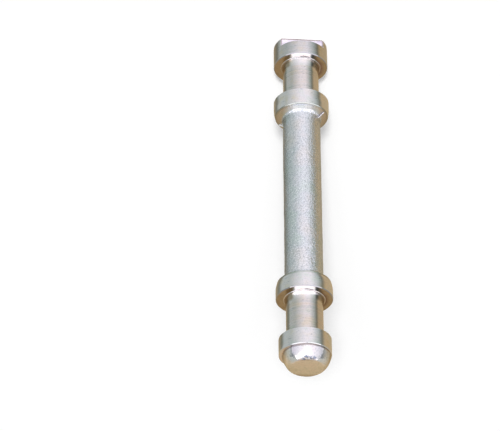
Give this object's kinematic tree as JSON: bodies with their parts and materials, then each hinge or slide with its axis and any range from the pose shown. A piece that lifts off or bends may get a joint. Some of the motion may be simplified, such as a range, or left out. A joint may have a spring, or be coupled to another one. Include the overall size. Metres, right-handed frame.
{
  "type": "forged shaft",
  "caption": "Forged and turned steel shaft with two collars on a plain shank, a necked head at each end, a side flat on one head and a rounded nose on the other.",
  "frame": {"origin": "centre of the flat head's end face, which the shaft stands on", "axes": "+Z along the shaft towards the rounded nose, -Y out of the flat on the head"},
  "size_m": [0.018, 0.018, 0.1221],
  "materials": {
    "plated_steel": "satin"
  },
  "bodies": {
    "root": {"shaft_body": "plated_steel"}
  },
  "joints": []
}
